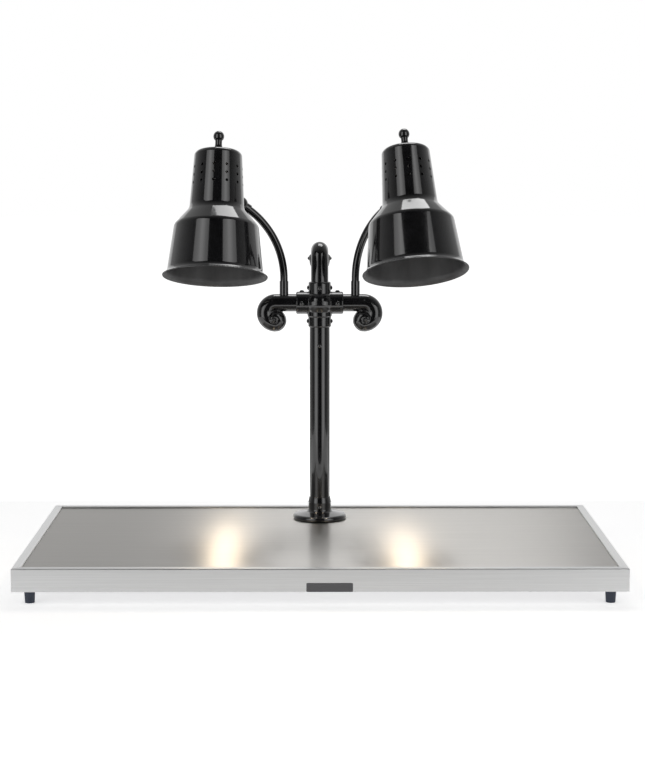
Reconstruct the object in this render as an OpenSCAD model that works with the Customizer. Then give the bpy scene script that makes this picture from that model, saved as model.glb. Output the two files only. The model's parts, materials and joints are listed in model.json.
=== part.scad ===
// Countertop food-warming station: a heated base carries a cast post with scrolls and two bell heat lamps.
// Millimetres. The origin is the middle of the footprint, on the table. The front faces -Y, and +Z is up.

/* [Base] */
// Width of the heated base
base_w = 914; // [700:1:1100]
// Depth of the heated base
base_d = 508; // [420:1:620]
// Height of the frame rails
apron_h = 35; // [32:1:50]
// Height of the rubber feet below the rails
foot_h = 21; // [12:1:35]
// Sheet thickness of the frame rails
rail_t = 1.5; // [1:0.1:2]
// Width of the raised border round the deck
border_w = 13; // [9:0.5:20]
// Step from the border down to the deck
deck_drop = 3; // [1.5:0.5:5]
// Thickness of the deck plate
deck_t = 1.5; // [1:0.1:2.5]
// Width of the ledge that carries the deck
ledge_w = 9; // [6:0.5:12]
// Width of the return flange under each rail
return_w = 12; // [9:0.5:15]
// Thickness of the bottom plate
bottom_t = 1.2; // [0.8:0.1:2]
// Width of the blank plate on the front rail
label_w = 69; // [40:1:90]
// Height of the blank plate
label_h = 13.4; // [8:0.2:20]
// Middle of the blank plate, to the right of the centre
label_x = 13.7; // [-60:0.1:60]

/* [Feet and fasteners] */
// Radius of a foot at its top
foot_r = 8.5; // [6:0.5:12]
// Distance of a foot's centre from each edge
foot_inset = 24; // [22:0.5:40]
// Radius of the foot screws
foot_screw_r = 2.5; // [2:0.1:3]
// Radius of the bottom plate screws
plate_screw_r = 1.5; // [1.2:0.1:2]

/* [Post] */
// Distance of the post behind the middle of the base
post_y = 150; // [80:1:170]
// Outer radius of the post
post_r = 16.7; // [14:0.1:19]
// Wall of the post
post_t = 2.8; // [2:0.1:4]
// Height of the hub's centre above the table
hub_z = 416; // [330:1:560]
// Radius of the flange
flange_r = 44.5; // [38:0.5:50]
// Thickness of the flange's disc
flange_t = 12; // [9:0.5:16]
// Height of the flange with its neck
flange_h = 38; // [30:0.5:50]
// Radius of the bolt circle under the flange
flange_bolt_circle_r = 31; // [27:0.5:32]

/* [Hub and scrolls] */
// Wall of the hub's collars round the post and the scroll spigots
collar_t = 2.2; // [1.8:0.1:3]
// Reach of the side collars from the hub's centre
side_reach = 39; // [34:0.5:48]
// Reach of the upper collar from the hub's centre
top_reach = 35; // [30:0.5:44]
// Reach of the lower collar from the hub's centre
low_reach = 40; // [34:0.5:48]
// Radius of a scroll's tube
scroll_r = 14.5; // [13:0.1:16]
// Radius of a scroll's spigot inside its collar
spigot_r = 13; // [11:0.1:14]
// Straight length of a scroll, from its collar to the curl
scroll_len = 34; // [28:0.5:50]
// Radius of the curl's centreline
curl_r = 16.8; // [15:0.1:20]

/* [Lamp arms] */
// Distance of an arm's foot from the hub's centre
arm_foot_x = 59; // [52:0.5:70]
// Outer radius of the arm tube
arm_r = 6.35; // [5.5:0.05:8]
// Wall of the arm tube
arm_t = 1.2; // [0.8:0.1:2]
// Height of the straight foot of an arm above the hub's centre
arm_rise = 40; // [37:0.5:60]
// Radius of the arm's bend
arm_bend_r = 141; // [110:1:170]
// Angle of the arm's bend
arm_bend = 55.6; // [40:0.1:60]
// Distance from the arm's end to the ball's centre
arm_end = 12.5; // [12.5:0.5:16]
// Radius of the ball
ball_r = 9; // [8:0.1:10]
// Forward turn of the left arm
left_yaw = 10.3; // [0:0.1:40]
// Forward turn of the right arm
right_yaw = 38.5; // [0:0.1:45]

/* [Lamp pose] */
// Direction from the left ball to its shade, forward of sideways
left_aim = 50.6; // [20:0.1:70]
// Direction from the right ball to its shade, forward of sideways
right_aim = 60.8; // [20:0.1:75]
// Inward lean of the left shade's top
left_lean = 1.2; // [-5:0.1:8]
// Inward lean of the right shade's top
right_lean = 4.3; // [-5:0.1:8]
// Backward lean of the left shade's top
left_back = 15.4; // [0:0.1:25]
// Backward lean of the right shade's top
right_back = 19.8; // [0:0.1:25]

/* [Shade] */
// Height of the shade from its rim to its cap
shade_h = 211; // [190:1:240]
// Radius at the rim
rim_r = 85; // [78:0.5:95]
// Radius of the body just above the flared rim
body_r = 77.2; // [70:0.2:80]
// Radius of the body under the shoulder
shoulder_r = 67.5; // [62:0.5:70]
// Height of the shoulder's foot above the rim
shoulder_z = 91; // [84:1:96]
// Height of the shoulder
shoulder_h = 35; // [25:1:38]
// Radius of the stem at the shoulder
stem_r = 42.5; // [40:0.5:48]
// Radius of the stem at the cap
cap_r = 37.8; // [34:0.2:42]
// Radius of the cap's edge
cap_edge_r = 11; // [5:0.5:14]
// Rise of the cap's crown
cap_rise = 0.8; // [0.3:0.1:2]
// Wall of the shade
shade_t = 1.3; // [0.8:0.1:2]
// Height of the ball's centre above the rim
ball_z = 130; // [130:0.5:140]
// Radius of a vent hole
vent_r = 2.4; // [1.5:0.1:3]
// Number of vent columns round the stem
vent_columns = 12; // [8:1:14]
// Spacing of the vent rows
vent_pitch = 13.3; // [10:0.1:14]
// Distance from the cap to the first vent row
vent_top = 34.5; // [30:0.5:38]

/* [Bulb and lampholder] */
// Radius of the bulb's reflector
bulb_r = 61; // [50:0.5:62]
// Height of the bulb's face above the rim
bulb_face_z = 45; // [40:1:55]
// Radius of the screw base
bulb_base_r = 13.2; // [12:0.1:13.4]
// Radius of the lampholder
holder_r = 21; // [18:0.5:24]
// Length of the lampholder
holder_h = 35; // [30:1:40]

/* [Switches and cord entry] */
// Middle of the lamp switch, to the right of the centre
lamp_switch_x = 296; // [150:1:300]
// Middle of the base switch
base_switch_x = 330; // [320:1:345]
// Middle of the cord bushing
bushing_x = 378; // [365:1:390]
// Radius of the bushing's bore
bushing_bore_r = 4.2; // [3:0.1:5]
// Width of a rocker
rocker_w = 11; // [9:0.5:13]
// Height of a rocker
rocker_h = 17; // [15:0.5:19]
// Tilt of a rocker to each side
rocker_tilt = 10; // [6:0.5:12]

/* [Hidden] */
$fn = 64;

// clearances
run = 0.05; // turning or sliding fit, on the radius
slip = 0.1; // fixed pieces that slide into each other
gap = 0.3; // sheet edges beside each other
mitre_gap = 0.15; // half of the joint line at each frame corner
through = 1; // how far a cutter passes a face

// base levels
rail_z = foot_h;
rim_z = rail_z + apron_h;
deck_z = rim_z - deck_drop;
ledge_z = deck_z - deck_t;
plate_z = rail_z + rail_t;
floor_z = plate_z + bottom_t;
edge_r = rail_t;
ledge_in = border_w + ledge_w;
label_t = 0.6;

// inside of the base
heater_t = 1.5;
wool_t = 10;
edge_room = 50;
channel_w = 124;
backing_w = 110;
backing_d = 96;
backing_t = 4;
bolt_r = 3;
bolt_head_r = 5.8;
bolt_head_h = 4;
bolt_reach = 7;
wire_hole_r = 7;
screw_rows_x = [-0.34, 0, 0.34];
screw_rows_y = [-0.3, 0.3];
screw_in = return_w / 2 + 1;

// hub
hub_body_r = post_r + slip + collar_t + 1.2;
hub_ball_r = hub_body_r + 2.3;
low_r = post_r + slip + collar_t;
side_r = spigot_r + slip + collar_t + 3.2;
socket_depth = 14;
post_top_z = hub_z - low_reach + 22;
post_foot_z = deck_z + 4;
screw_r = 2;
screw_head_r = 4;
screw_head_h = 2.8;
screw_dome_r = 4.6;

// scrolls
eye_along = scroll_len + 3;
eye_drop = 26;
tip_along = scroll_len + 3;
tip_drop = 30.5;
tip_r = 17;
eye_r = 11.6;
eye_out = 8.7;
sleeve_r = arm_r + run + 0.95;
sleeve_floor = 2;
sleeve_h = 36;

// arms and ball joints
cup_r = ball_r + 3;
cup_cut = 3.5;
neck_r = arm_r + 1.6;
neck_grip = 4.5;
neck_len = arm_end + neck_grip;
stud_r = 3;
stud_collar_r = 5;
saddle_r = 9;
saddle_h = 4;
saddle_room = 10.2;
stud_nut_r = 5.5;
stud_nut_h = 3.5;

// rockers
housing_wall = 1.3;
housing_w = rocker_w + 0.5 + 2 * housing_wall;
housing_h = rocker_h + 2 + 2 * housing_wall;
housing_lip = 1.6;
rocker_pivot_in = 2;
rocker_pin_r = 1.2;
rocker_face = 0.6;
switch_z = rail_z + apron_h / 2 - 1;

function unit(v) = v / norm(v);
function arc(cx, cy, r, a0, a1, n) = [for (i = [0:n]) let (a = a0 + (a1 - a0) * i / n)
    [cx + r * cos(a), cy + r * sin(a)]];
function reversed(v) = [for (i = [len(v) - 1:-1:0]) v[i]];

// where an arm ends: side is -1 for the left lamp and 1 for the right
arm_reach = arm_bend_r * (1 - cos(arm_bend)) + arm_end * sin(arm_bend);
arm_top_z = hub_z + arm_rise + arm_bend_r * sin(arm_bend) + arm_end * cos(arm_bend);
function yaw(side) = side < 0 ? left_yaw : right_yaw;
function ball(side) = [side * (arm_foot_x + arm_reach * cos(yaw(side))),
    post_y - arm_reach * sin(yaw(side)), arm_top_z];

// axes of a lamp: up along the shade, and out from the ball to the shade
function lamp_up(side) = side < 0 ? unit([tan(left_lean), tan(left_back), 1])
    : unit([-tan(right_lean), tan(right_back), 1]);
function lamp_aim(side) = let (a = side < 0 ? left_aim : right_aim) [side * cos(a), -sin(a), 0];
function lamp_out(side) = let (u = lamp_up(side), a = lamp_aim(side)) unit(a - u * (a * u));

// radius of the shade's outside at a height on the stem
function stem_at(z) = stem_r + (cap_r - stem_r) * (z - shoulder_z - shoulder_h)
    / (shade_h - cap_edge_r - shoulder_z - shoulder_h);
saddle_x = stem_at(ball_z) + saddle_h;
ball_x = saddle_x + saddle_room;

// outline of the shade, moved out by grow: the bell from its rim to the seam, and the vent cap above it
seam_z = shoulder_z + shoulder_h;
flare_a = 70;
flare_r = (rim_r - body_r) / (1 - cos(flare_a));
flare_z = flare_r * sin(flare_a);
function bell_line(grow) = concat(
    [for (p = arc(body_r + flare_r, flare_z, flare_r, 180 + flare_a, 180, 6)) [p[0] + grow, p[1]]],
    [for (i = [0:12]) let (t = i / 12) [stem_r + (shoulder_r - stem_r) * (1 + cos(180 * t)) / 2 + grow,
        shoulder_z + shoulder_h * t]]);
function cap_line(grow) = concat(
    arc(cap_r - cap_edge_r, shade_h - cap_rise - cap_edge_r, cap_edge_r + grow, 4, 90, 6),
    [[0, shade_h + grow]]);

module at_post() translate([0, post_y, 0]) children();
module in_arm(side) translate([side * arm_foot_x, post_y, 0])
    rotate([0, 0, side < 0 ? 180 + left_yaw : -right_yaw]) children();
module in_arm_end(side) in_arm(side) translate([arm_reach, 0, arm_top_z]) rotate([0, arm_bend, 0]) children();
// frame of a shade: origin at the middle of its rim, +Z up the shade, the ball at -ball_x
module in_lamp(side) {
    u = lamp_up(side);
    x = lamp_out(side);
    y = cross(u, x);
    o = ball(side) + x * ball_x - u * ball_z;
    multmatrix([[x[0], y[0], u[0], o[0]], [x[1], y[1], u[1], o[1]], [x[2], y[2], u[2], o[2]], [0, 0, 0, 1]])
        children();
}
// cylinder along +X from x0 to x1
module rod_x(x0, x1, r) translate([x0, 0, 0]) rotate([0, 90, 0]) cylinder(h = x1 - x0, r = r);
// button head screw along -X: the head's seat is at x = 0 and the shank goes inwards
module button_screw(shank) rotate([0, 90, 0]) rotate_extrude() polygon(concat(
    [[0, -shank], [screw_r, -shank], [screw_r, 0], [screw_head_r, 0]],
    arc(0, screw_head_h - screw_dome_r, screw_dome_r, acos(screw_head_r / screw_dome_r), 90, 5)));

// ---- base ----
module rail_outline() polygon(concat(
    [[0, rail_z], [return_w, rail_z], [return_w, plate_z], [rail_t, plate_z], [rail_t, rim_z - rail_t],
    [border_w - rail_t, rim_z - rail_t], [border_w - rail_t, ledge_z - rail_t],
    [ledge_in, ledge_z - rail_t], [ledge_in, ledge_z], [border_w, ledge_z], [border_w, rim_z]],
    arc(edge_r, rim_z - edge_r, edge_r, 90, 180, 4)));
// one rail along X whose outer face is at y = 0, mitred at both ends
module rail(length) {
    half = length / 2 - mitre_gap;
    intersection() {
        translate([-length / 2, 0, 0]) rotate([90, 0, 90]) linear_extrude(length) rail_outline();
        linear_extrude(rim_z + through)
            polygon([[-half, 0], [half, 0], [half - ledge_in - through, ledge_in + through],
            [-half + ledge_in + through, ledge_in + through]]);
    }
}
// places of the bottom plate's screws
module plate_screw_places() {
    for (side = [-1, 1]) {
        for (x = screw_rows_x) translate([x * base_w, side * (base_d / 2 - screw_in), 0]) children();
        for (y = screw_rows_y) translate([side * (base_w / 2 - screw_in), y * base_d, 0]) children();
    }
}
module plate_screw_holes() plate_screw_places() translate([0, 0, rail_z - through])
    cylinder(h = rail_t + bottom_t + 2 * through, r = plate_screw_r + slip, $fn = 24);
module frame_side(turn, depth, length) difference() {
    rotate([0, 0, turn]) translate([0, -depth / 2, 0]) rail(length);
    plate_screw_holes();
}
module frame_front() color("lightgray") frame_side(0, base_d, base_w);
module frame_right() color("lightgray") frame_side(90, base_w, base_d);
module frame_left() color("lightgray") frame_side(270, base_w, base_d);
module frame_rear() color("lightgray") difference() {
    frame_side(180, base_d, base_w);
    for (x = [lamp_switch_x, base_switch_x]) translate([x, base_d / 2 - rail_t / 2, switch_z])
        cube([housing_w + 2 * slip, rail_t + 2 * through, housing_h + 2 * slip], center = true);
    translate([bushing_x, base_d / 2 + through, switch_z]) rotate([90, 0, 0])
        cylinder(h = rail_t + 2 * through, r = bushing_body_r + slip);
}
module slab(w, d, z0, z1) translate([-w / 2, -d / 2, z0]) cube([w, d, z1 - z0]);
module bolt_places() at_post() for (a = [45:90:315]) rotate([0, 0, a])
    translate([flange_bolt_circle_r, 0, 0]) children();
module deck_plate() color("silver") difference() {
    slab(base_w - 2 * (border_w + gap), base_d - 2 * (border_w + gap), ledge_z, deck_z);
    at_post() translate([0, 0, ledge_z - through]) cylinder(h = deck_t + 2 * through, r = wire_hole_r);
    bolt_places() translate([0, 0, ledge_z - through]) cylinder(h = deck_t + 2 * through, r = bolt_r + gap);
}
module foot_places() for (x = [-1, 1], y = [-1, 1])
    translate([x * (base_w / 2 - foot_inset), y * (base_d / 2 - foot_inset), 0]) children();
module bottom_plate() color("gray") difference() {
    slab(base_w - 2 * (rail_t + gap), base_d - 2 * (rail_t + gap), plate_z, floor_z);
    plate_screw_holes();
    foot_places() translate([0, 0, plate_z - through]) cylinder(h = bottom_t + 2 * through, r = foot_screw_r + slip);
}
module bottom_screws() color("silver") plate_screw_places() {
    translate([0, 0, rail_z - 1.6]) cylinder(h = 1.6, r1 = 2.2, r2 = 2.8);
    translate([0, 0, rail_z - 0.2]) cylinder(h = rail_t + bottom_t + 3, r = plate_screw_r);
}
foot_recess = 6;
module rubber_feet() color("midnightblue") foot_places() difference() {
    cylinder(h = plate_z, r1 = foot_r - 1.2, r2 = foot_r);
    translate([0, 0, -through]) cylinder(h = foot_recess + through, r = foot_screw_r + 2.6);
    translate([0, 0, -through]) cylinder(h = plate_z + 2 * through, r = foot_screw_r + slip);
}
module foot_screws() color("silver") foot_places() {
    translate([0, 0, foot_recess - 2.5]) cylinder(h = 2.5, r = foot_screw_r + 2);
    translate([0, 0, foot_recess - 0.5]) cylinder(h = floor_z + 5 - foot_recess, r = foot_screw_r);
    translate([0, 0, floor_z]) cylinder(h = 3.5, r = foot_screw_r + 2.2, $fn = 6);
}
module label_plate() color("dimgray")
    translate([label_x - label_w / 2, -base_d / 2 - label_t, rail_z]) cube([label_w, label_t, label_h]);
heater_w = (base_w - channel_w) / 2 - edge_room / 2;
module heater(side) translate([side * (channel_w / 2 + heater_w / 2), 0, 0])
    slab(heater_w, base_d - 2 * edge_room, ledge_z - heater_t, ledge_z);
module heater_left() color("orange") heater(-1);
module heater_right() color("orange") heater(1);
module insulation() color("khaki") for (side = [-1, 1]) translate([side * (channel_w / 2 + heater_w / 2), 0, 0])
    slab(heater_w, base_d - 2 * edge_room, ledge_z - heater_t - wool_t, ledge_z - heater_t);
module thermostat() color("saddlebrown") {
    translate([0, 0, ledge_z - 9]) cylinder(h = 9, r = 12);
    for (x = [-6, 6]) translate([x - 0.4, -3, ledge_z - 15]) cube([0.8, 6, 7]);
}
terminal_w = 64;
module terminal_block() color("ivory") translate([0, -70, floor_z]) difference() {
    slab(terminal_w, 20, 0, 14);
    for (i = [-2:2]) translate([i * 12, 0, 0]) {
        translate([-4, -10 - through, 7]) cube([8, 6 + through, 10]);
        translate([-4, 4, 7]) cube([8, 6 + through, 10]);
    }
}
module backing_plate() color("gray") difference() {
    at_post() slab(backing_w, backing_d, ledge_z - backing_t, ledge_z);
    at_post() translate([0, 0, ledge_z - backing_t - through])
        cylinder(h = backing_t + 2 * through, r = wire_hole_r);
    bolt_places() translate([0, 0, ledge_z - backing_t - through])
        cylinder(h = backing_t + 2 * through, r = bolt_r + gap);
}
module flange_bolts() color("silver") bolt_places() {
    translate([0, 0, ledge_z - backing_t - bolt_head_h]) cylinder(h = bolt_head_h, r = bolt_head_r, $fn = 6);
    translate([0, 0, ledge_z - backing_t - 1]) cylinder(h = backing_t + deck_t + bolt_reach + 1, r = bolt_r);
}

// ---- cord entry and switches, on the rear rail ----
bushing_body_r = bushing_bore_r + 3.4;
module at_rear(x) translate([x, base_d / 2, switch_z]) children();
module cord_bushing() color("black") at_rear(bushing_x) rotate([90, 0, 0]) difference() {
    union() {
        translate([0, 0, -3]) cylinder(h = 3, r1 = bushing_body_r + 1, r2 = bushing_body_r + 2.4);
        cylinder(h = 12, r = bushing_body_r);
    }
    translate([0, 0, -3 - through]) cylinder(h = 15 + 2 * through, r = bushing_bore_r);
}
cavity_w = rocker_w + 0.5;
cavity_h = rocker_h + 2;
cavity_d = 9;
module switch_housing(x) color("black") at_rear(x) difference() {
    union() {
        translate([-housing_w / 2 - 1.5, 0, -housing_h / 2 - 1]) cube([housing_w + 3, housing_lip, housing_h + 2]);
        translate([-housing_w / 2, -16, -housing_h / 2]) cube([housing_w, 16 + housing_lip / 2, housing_h]);
    }
    translate([-cavity_w / 2, -cavity_d, -cavity_h / 2]) cube([cavity_w, cavity_d + housing_lip + through, cavity_h]);
    translate([0, -rocker_pivot_in, 0]) rod_x(-cavity_w / 2 - 0.9, cavity_w / 2 + 0.9, rocker_pin_r + run);
}
// a rocker pressed at its lower end
module rocker(x) color("black") at_rear(x) translate([0, -rocker_pivot_in, 0]) rotate([rocker_tilt, 0, 0]) {
    top = rocker_pivot_in + rocker_face;
    lift = rocker_h / 2 * tan(rocker_tilt);
    rotate([90, 0, 90]) translate([0, 0, -rocker_w / 2]) linear_extrude(rocker_w)
        polygon([[top, 0], [top + lift, rocker_h / 2], [top + lift - 4, rocker_h / 2], [-2.5, 4], [-2.5, -4],
        [top + lift - 4, -rocker_h / 2], [top + lift, -rocker_h / 2]]);
    rod_x(-rocker_w / 2 - 0.9, rocker_w / 2 + 0.9, rocker_pin_r);
}
module lamp_switch_housing() switch_housing(lamp_switch_x);
module lamp_rocker() rocker(lamp_switch_x);
module base_switch_housing() switch_housing(base_switch_x);
module base_rocker() rocker(base_switch_x);

// ---- post ----
neck_outer_r = post_r + slip + collar_t;
flange_screw_z = deck_z + 21;
module post_flange() color("black") at_post() difference() {
    translate([0, 0, deck_z]) rotate_extrude() polygon(concat(
        [[wire_hole_r + 1, 0]],
        arc(flange_r - 4.5, 4.8, 4.5, -70, 75, 6),
        arc(neck_outer_r + 4.5, flange_t + 5.2, 4.5, 260, 180, 5),
        [[neck_outer_r, flange_h - 9], [post_r + slip + 0.6, flange_h], [post_r + slip, flange_h],
        [post_r + slip, post_foot_z - deck_z], [wire_hole_r + 1, post_foot_z - deck_z]]));
    bolt_centres_down() cylinder(h = bolt_reach + 1 + through, r = bolt_r + run);
    for (a = [90, 270]) rotate([0, 0, a]) translate([0, 0, flange_screw_z])
        rod_x(post_r - through, neck_outer_r + through, screw_r + run);
}
module bolt_centres_down() for (a = [45:90:315]) rotate([0, 0, a])
    translate([flange_bolt_circle_r, 0, deck_z - through]) children();
module flange_set_screws() color("black") at_post() for (a = [90, 270]) rotate([0, 0, a])
    translate([neck_outer_r, 0, flange_screw_z]) button_screw(collar_t);
dome_screw_z = hub_z - 70;
module post_tube() color("black") at_post() difference() {
    translate([0, 0, post_foot_z]) cylinder(h = post_top_z - post_foot_z, r = post_r);
    translate([0, 0, post_foot_z - through]) cylinder(h = post_top_z, r = post_r - post_t);
    translate([0, 0, dome_screw_z]) rotate([0, 0, -90]) rod_x(post_r - post_t - through, post_r + through, screw_r + run);
}
module post_dome_screw() color("black") at_post() translate([0, -post_r, dome_screw_z]) rotate([0, 0, -90])
    button_screw(post_t + 1);
module post_wiring() color("gray") at_post() for (x = [-3.2, 3.2])
    translate([x, 0, floor_z + 3]) cylinder(h = hub_z - 4 - floor_z - 3, r = 2.8);

// ---- hub: button screws at [turn about Z, tilt up, distance, place of the screw's collar] ----
side_screw_x = side_reach - 9.5;
top_screw_z = top_reach - 10;
low_screw_z = -low_reach + 9.5;
module hub_screw_places() at_post() translate([0, 0, hub_z]) {
    for (a = [0, 180]) rotate([0, 0, a]) translate([low_r, 0, low_screw_z]) children();
    for (a = [0, 180, 270]) rotate([0, 0, a]) translate([side_r, 0, top_screw_z]) children();
    for (x = [-1, 1]) {
        translate([x * side_screw_x, 0, side_r]) rotate([0, -90, 0]) children();
        translate([x * side_screw_x, -side_r, 0]) rotate([0, 0, -90]) children();
    }
}
module collar(reach, r) {
    cylinder(h = reach - 1.5, r = r);
    translate([0, 0, reach - 1.5]) cylinder(h = 1.5, r1 = r, r2 = r - 1.2);
}
module hub() color("black") difference() {
    at_post() translate([0, 0, hub_z]) difference() {
        union() {
            sphere(r = hub_ball_r);
            translate([0, 0, -22]) cylinder(h = 36, r = hub_body_r);
            rotate([180, 0, 0]) collar(low_reach, low_r);
            collar(top_reach, side_r);
            for (a = [-90, 90]) rotate([0, a, 0]) collar(side_reach, side_r);
        }
        translate([0, 0, -low_reach - through]) cylinder(h = 22 + through + slip, r = post_r + slip);
        translate([0, 0, -low_reach]) cylinder(h = low_reach + top_reach, r = spigot_r - 3);
        translate([0, 0, top_reach - socket_depth]) cylinder(h = socket_depth + through, r = spigot_r + slip);
        rod_x(-side_reach, side_reach, spigot_r - 3);
        for (x = [-1, 1]) translate([x * (side_reach - socket_depth / 2 + through / 2), 0, 0])
            rod_x(-(socket_depth + through) / 2, (socket_depth + through) / 2, spigot_r + slip);
    }
    hub_screw_places() rod_x(-side_r + spigot_r, through, screw_r + run);
}
module hub_set_screws() color("black") hub_screw_places() button_screw(collar_t - slip);

// ---- scrolls: in their own frame a scroll runs along +X from its collar and curls down ----
module scroll_body() {
    rod_x(-socket_depth + 1, 0.5, spigot_r);
    rod_x(0, scroll_len, scroll_r);
    translate([scroll_len, 0, -curl_r]) rotate([90, 0, 0]) rotate([0, 0, -90])
        rotate_extrude(angle = 180) translate([curl_r, 0]) circle(r = scroll_r);
    translate([tip_along, 0, -tip_drop]) sphere(r = tip_r);
    for (y = [-1, 1]) translate([eye_along, y * eye_out, -eye_drop]) sphere(r = eye_r);
}
// a side scroll is bored for the arm's sleeve and the wires
module side_scroll(side) at_post() translate([side * side_reach, 0, hub_z]) mirror([side < 0 ? 1 : 0, 0, 0])
    difference() {
        scroll_body();
        translate([arm_foot_x - side_reach, 0, -sleeve_floor]) cylinder(h = 30, r = sleeve_r + run);
        rod_x(-socket_depth, arm_foot_x - side_reach, 4.5);
    }
module scroll_left() color("black") side_scroll(-1);
module scroll_right() color("black") side_scroll(1);
module scroll_top() color("black") at_post() translate([0, 0, hub_z + top_reach])
    rotate([0, -90, 90]) scroll_body();

// ---- lamp arms ----
module arm_sleeve(side) color("black") in_arm(side) translate([0, 0, hub_z - sleeve_floor]) difference() {
    cylinder(h = sleeve_h + sleeve_floor, r = sleeve_r);
    translate([0, 0, sleeve_floor]) cylinder(h = sleeve_h + through, r = arm_r + run);
    translate([0, 0, -through]) cylinder(h = sleeve_h, r = 4.5);
}
module ring(r, t) difference() {
    circle(r = r);
    circle(r = r - t);
}
module arm_tube(side) color("black") in_arm(side) {
    translate([0, 0, hub_z + run]) linear_extrude(arm_rise - run) ring(arm_r, arm_t);
    translate([arm_bend_r, 0, hub_z + arm_rise]) mirror([1, 0, 0]) rotate([90, 0, 0])
        rotate_extrude(angle = arm_bend) translate([arm_bend_r, 0]) ring(arm_r, arm_t);
}
module at_ball(side) in_lamp(side) translate([-ball_x, 0, ball_z]) rotate([0, 90, 0]) children();
module ball_cup(side) color("black") difference() {
    union() {
        at_ball(side) sphere(r = cup_r);
        in_arm_end(side) translate([0, 0, -neck_len]) cylinder(h = neck_len - ball_r, r = neck_r);
    }
    at_ball(side) sphere(r = ball_r + run);
    at_ball(side) translate([0, 0, cup_cut]) cylinder(h = cup_r, r = cup_r + through);
    in_arm_end(side) translate([0, 0, -neck_len - through]) cylinder(h = neck_grip + through, r = arm_r + 2 * slip);
    in_arm_end(side) translate([0, 0, -neck_len]) cylinder(h = neck_len - ball_r + 2, r = 3);
}
module ball_stud(side) color("silver") in_lamp(side) translate([0, 0, ball_z]) difference() {
    union() {
        translate([-ball_x, 0, 0]) sphere(r = ball_r);
        rod_x(-ball_x, -stem_at(ball_z) + shade_t + stud_nut_h + 2.5, stud_r);
        rod_x(-ball_x + ball_r - 1.5, -saddle_x - slip, stud_collar_r);
    }
    rod_x(-ball_x - ball_r - through, 0, 1.6);
}
nut_x = -stem_at(ball_z) + shade_t + 1;
module stud_nut(side) color("silver") in_lamp(side) translate([0, 0, ball_z]) difference() {
    translate([nut_x, 0, 0]) rotate([0, 90, 0]) cylinder(h = stud_nut_h, r = stud_nut_r, $fn = 6);
    rod_x(nut_x - through, 0, stud_r + run);
}
module shade_solid(grow) rotate_extrude() polygon(concat([[0, 0]], bell_line(grow), cap_line(grow)));
module saddle(side) color("black") in_lamp(side) difference() {
    translate([0, 0, ball_z]) rod_x(-saddle_x, -stem_at(ball_z) + 3, saddle_r);
    shade_solid(slip);
    translate([0, 0, ball_z]) rod_x(-saddle_x - through, 0, stud_r + run);
}

// ---- lamps ----
module shade(side) color("black") in_lamp(side) rotate_extrude()
    polygon(concat(bell_line(0), reversed(bell_line(-shade_t))));
module vent_cap(side) color("black") in_lamp(side) difference() {
    rotate_extrude() polygon(concat([[stem_r, seam_z]], cap_line(0), reversed(cap_line(-shade_t)),
        [[stem_r - shade_t, seam_z]]));
    for (i = [0:vent_columns - 1], row = [0:2]) rotate([0, 0, 360 / vent_columns * i])
        translate([0, 0, shade_h - vent_top - row * vent_pitch])
            rod_x(cap_r - 8, stem_r + 8, vent_r);
    translate([0, 0, ball_z]) rod_x(-stem_r - 8, -stem_r + 8, stud_r + run);
    translate([0, 0, shade_h - 6]) cylinder(h = 12, r = stud_r + slip);
}
washer_t = 1.2;
finial_z = shade_h + washer_t;
finial_ball_r = 8.9;
module finial(side) color("black") in_lamp(side) {
    translate([0, 0, finial_z]) cylinder(h = 3, r = 8.5);
    translate([0, 0, finial_z + 3]) cylinder(h = 5, r1 = 8, r2 = 5.6);
    translate([0, 0, finial_z + 7.8]) cylinder(h = 4, r = 5.6);
    translate([0, 0, finial_z + 28 - finial_ball_r]) sphere(r = finial_ball_r);
    translate([0, 0, shade_h - 8]) cylinder(h = 8 + washer_t + 1, r = stud_r);
}
module washer(side) color("dimgray") in_lamp(side) translate([0, 0, shade_h]) difference() {
    cylinder(h = washer_t, r = 11.5);
    translate([0, 0, -through]) cylinder(h = washer_t + 2 * through, r = stud_r + slip);
}
yoke_t = 1.2;
yoke_z = shade_h - shade_t - cap_rise - 0.2;
holder_top = shade_h - 11;
module yoke(side) color("silver") in_lamp(side) difference() {
    union() {
        translate([-holder_r - yoke_t - slip, -7, yoke_z - 2]) cube([2 * (holder_r + yoke_t + slip), 14, 2]);
        for (x = [-1, 1]) translate([x * (holder_r + slip + yoke_t / 2) - yoke_t / 2, -7, holder_top - 25])
            cube([yoke_t, 14, yoke_z - holder_top + 24]);
    }
    translate([0, 0, yoke_z - 2 - through]) cylinder(h = 2 + 2 * through, r = stud_r + run);
}
module lampholder(side) color("ivory") in_lamp(side) difference() {
    translate([0, 0, holder_top - holder_h]) cylinder(h = holder_h, r = holder_r);
    translate([0, 0, holder_top - holder_h - through]) cylinder(h = holder_h - 5 + through, r = bulb_base_r + gap);
}
base_z = holder_top - holder_h;
glass_t = 1.2;
// outline of the reflector bulb from the middle of its face up to its neck
function bulb_line(grow) = concat(
    arc(0, bulb_face_z + 118, 118 + grow, 270, 296, 5),
    arc(bulb_r - 12, bulb_face_z + 24, 12 + grow, -50, 20, 5),
    [for (i = [1:8]) let (t = i / 8) [bulb_base_r + 4 + (bulb_r - bulb_base_r - 4.6) * (1 + cos(180 * t)) / 2
        * (1 - 0.12 * sin(180 * t)) + grow, bulb_face_z + 28 + (base_z - bulb_face_z - 50) * t]],
    [[bulb_base_r + grow, base_z - 1]]);
module bulb_glass(side) color("whitesmoke") in_lamp(side) rotate_extrude()
    polygon(concat(bulb_line(0), reversed(bulb_line(-glass_t))));
module bulb_base(side) color("gold") in_lamp(side) {
    translate([0, 0, base_z - 1]) cylinder(h = holder_h - 7, r = bulb_base_r);
    translate([0, 0, base_z + holder_h - 8.5]) cylinder(h = 3, r = 4);
}

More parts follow.
